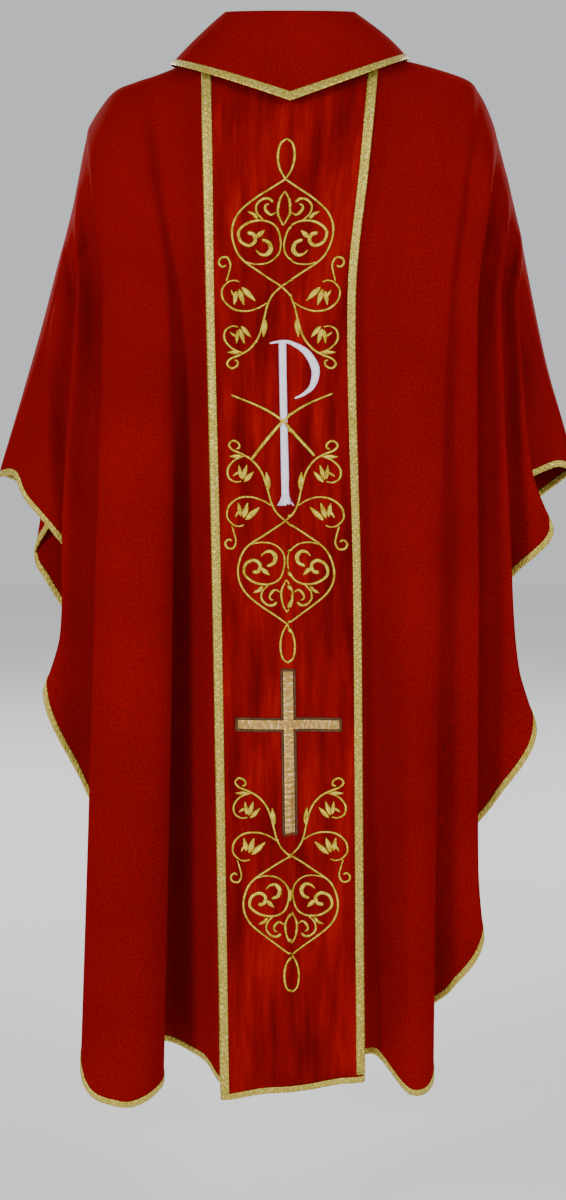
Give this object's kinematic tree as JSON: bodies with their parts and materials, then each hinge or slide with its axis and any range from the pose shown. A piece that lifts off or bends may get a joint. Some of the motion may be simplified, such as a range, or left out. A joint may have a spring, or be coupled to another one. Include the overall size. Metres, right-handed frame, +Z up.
{
  "type": "chasuble",
  "caption": "Wide gothic church vestment hanging in folds from the shoulders and arms, with a turned-down collar, braided orphreys, embroidery and bound hems",
  "frame": {"origin": "midway between the shoulders, at the height where the collar meets them", "axes": "+Z up, -Y the back of the garment, +X the wearer's right"},
  "size_m": [0.7292, 0.3828, 1.3511],
  "materials": {
    "red_cloth": "plain woven wool blend, soft sheen",
    "red_satin": "satin with long vertical streaks",
    "gold_braid": "woven metallic braid with pale edges",
    "gold_thread": "metallic satin stitch",
    "silver_thread": "pale satin stitch",
    "brown_thread": "dark satin stitch",
    "interlining": "stiff undyed canvas"
  },
  "bodies": {
    "root": {"back_panel": "red_cloth", "front_panel": "red_cloth", "back_hem_binding_left": "gold_braid", "back_hem_binding_right": "gold_braid", "front_hem_binding_left": "gold_braid", "front_hem_binding_right": "gold_braid", "back_orphrey": "red_satin", "back_orphrey_interlining": "interlining", "back_orphrey_braid_left": "gold_braid", "back_orphrey_braid_right": "gold_braid", "back_orphrey_hem_binding": "gold_braid", "front_orphrey": "red_satin", "front_orphrey_interlining": "interlining", "front_orphrey_braid_left": "gold_braid", "front_orphrey_braid_right": "gold_braid", "front_orphrey_hem_binding": "gold_braid", "back_scroll_upper": "gold_thread", "back_scroll_middle": "gold_thread", "back_scroll_lower": "gold_thread", "back_rho": "silver_thread", "back_chi": "gold_thread", "back_cross_border": "brown_thread", "back_cross_field": "gold_thread", "front_scroll_upper": "gold_thread", "front_scroll_middle": "gold_thread", "front_scroll_lower": "gold_thread", "front_rho": "silver_thread", "front_chi": "gold_thread", "front_cross_border": "brown_thread", "front_cross_field": "gold_thread", "collar_fall": "red_cloth", "collar_interlining": "interlining", "collar_braid": "gold_braid", "collar_stand": "red_cloth", "back_neck_facing": "red_cloth", "front_neck_facing": "red_cloth", "shoulder_tape_left": "interlining", "shoulder_tape_right": "interlining"}
  },
  "joints": []
}
